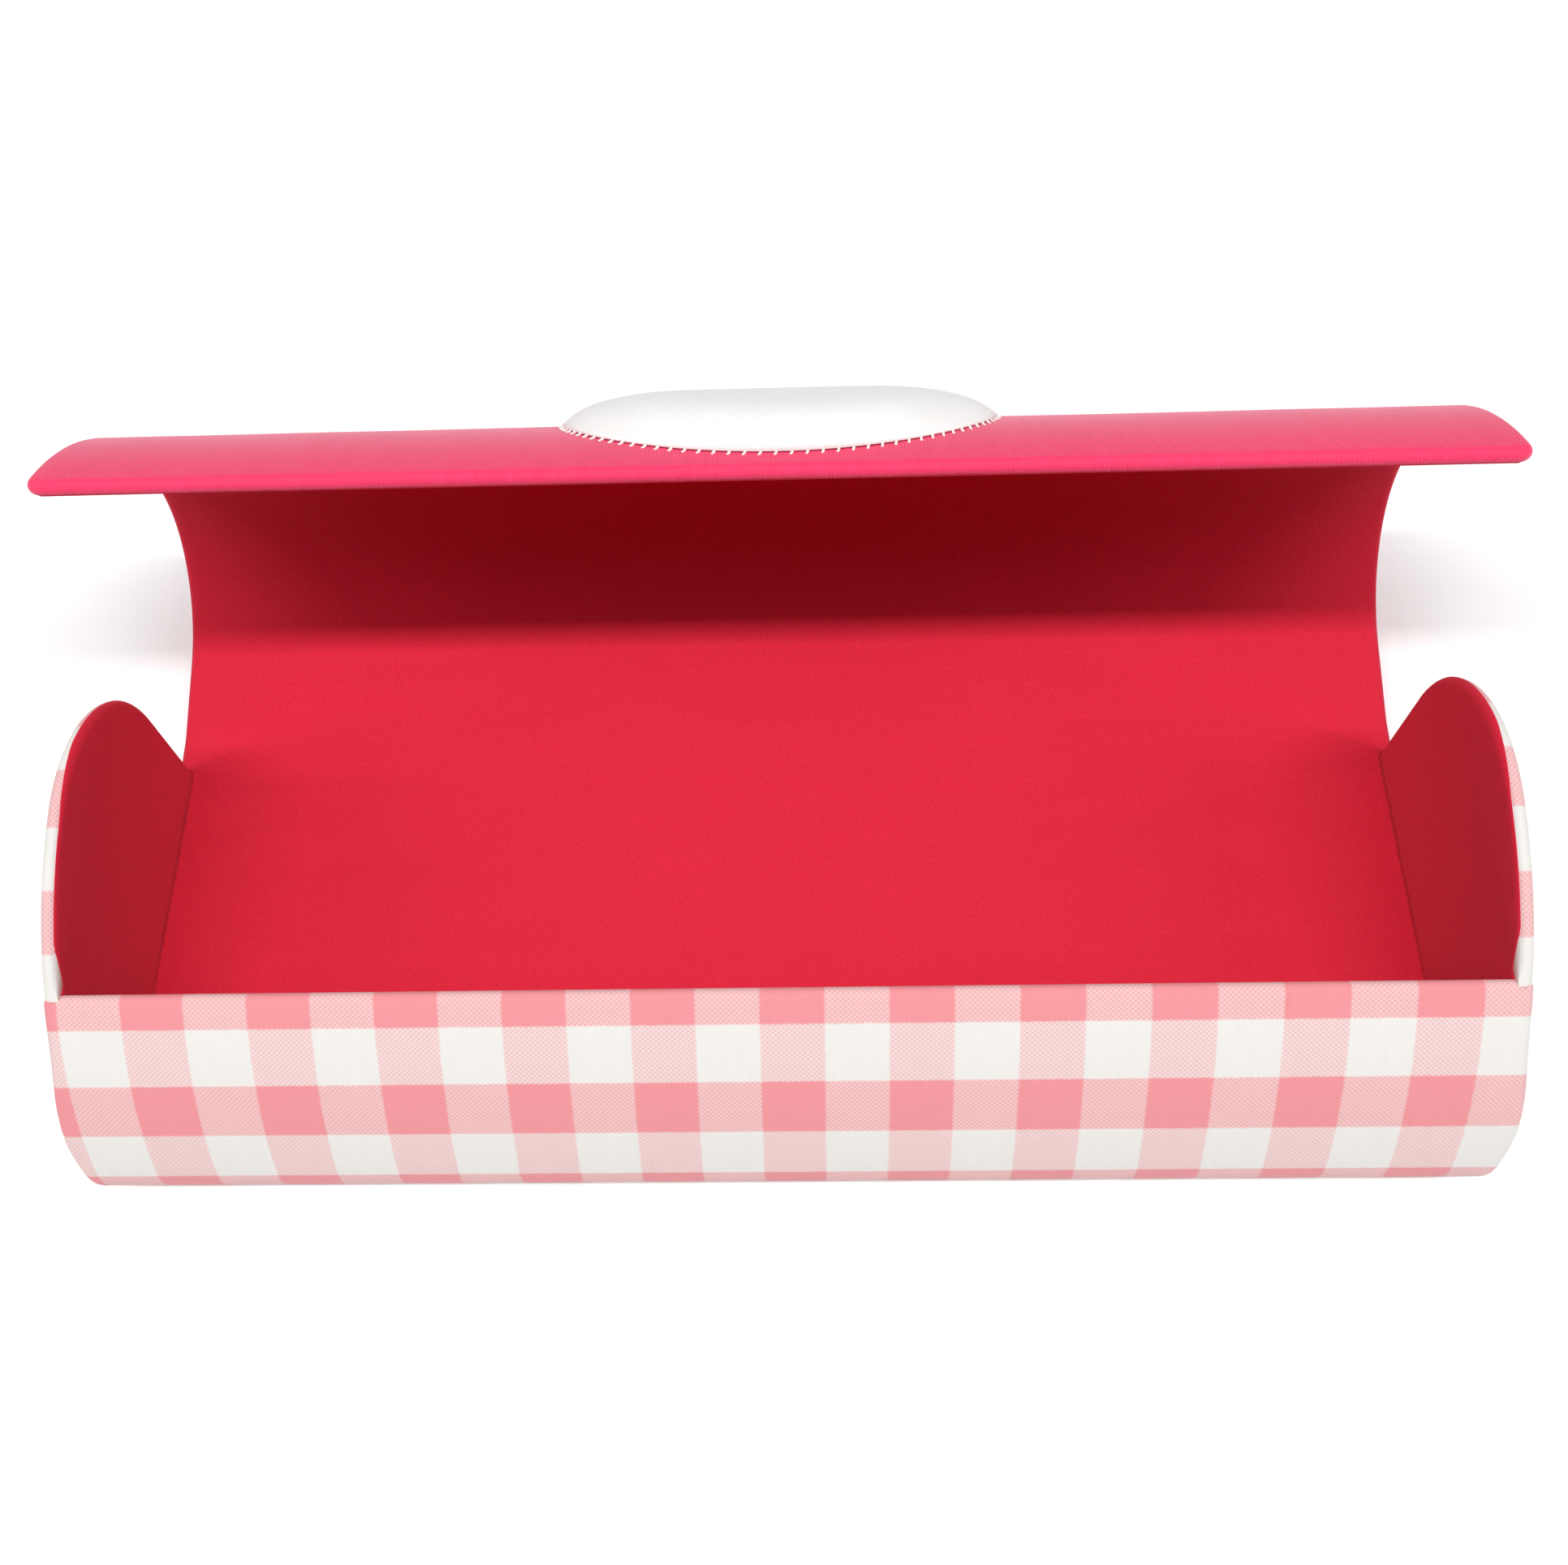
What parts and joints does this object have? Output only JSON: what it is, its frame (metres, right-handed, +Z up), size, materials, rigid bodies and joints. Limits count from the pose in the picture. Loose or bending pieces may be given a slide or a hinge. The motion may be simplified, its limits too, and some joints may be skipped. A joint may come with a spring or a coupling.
{
  "type": "eyeglasses case",
  "caption": "Hard eyeglasses case in checked cloth: a padded tray with end panels, and a curled lid on a cloth hinge that closes over the tray's front with hidden magnets.",
  "frame": {"origin": "middle of the flat underside, on the surface that the case stands on", "axes": "+X along the case's length to the right end seen from the front, +Y from the front wall to the hinge, +Z up"},
  "size_m": [0.164, 0.0893, 0.0598],
  "materials": {
    "gingham_cotton": "pink and white checked cotton, plain weave",
    "lid_cloth": "bright pinkish red cloth with a fine rib",
    "red_lining": "red brushed lining cloth",
    "white_cloth": "white brushed cloth",
    "white_thread": "white sewing thread",
    "fibreboard": "pressed fibreboard",
    "foam": "soft padding",
    "steel": "bare sheet steel",
    "nickel_plate": "nickel plate"
  },
  "bodies": {
    "base": {"base_cover": "gingham_cotton", "base_shell": "fibreboard", "base_lining": "red_lining", "floor_padding": "foam", "strike_plate_left": "steel", "strike_plate_right": "steel", "end_cover_left": "gingham_cotton", "end_cover_right": "gingham_cotton", "end_board_left": "fibreboard", "end_board_right": "fibreboard", "end_lining_left": "red_lining", "end_lining_right": "red_lining", "hinge_tape": "lid_cloth", "hinge_lining": "red_lining"},
    "lid": {"lid_cover": "lid_cloth", "lid_shell": "fibreboard", "lid_lining": "red_lining", "magnet_left": "nickel_plate", "magnet_right": "nickel_plate", "patch_padding": "foam", "patch_cover": "white_cloth", "patch_stitching": "white_thread"}
  },
  "joints": [
    {"name": "lid_hinge", "type": "hinge", "parent": "base", "child": "lid", "pos_m": [0, 0.0254, 0.0043], "axis": [1, 0, 0], "range_deg": [-17, 78.7], "deforming": ["hinge_tape", "hinge_lining"]}
  ]
}
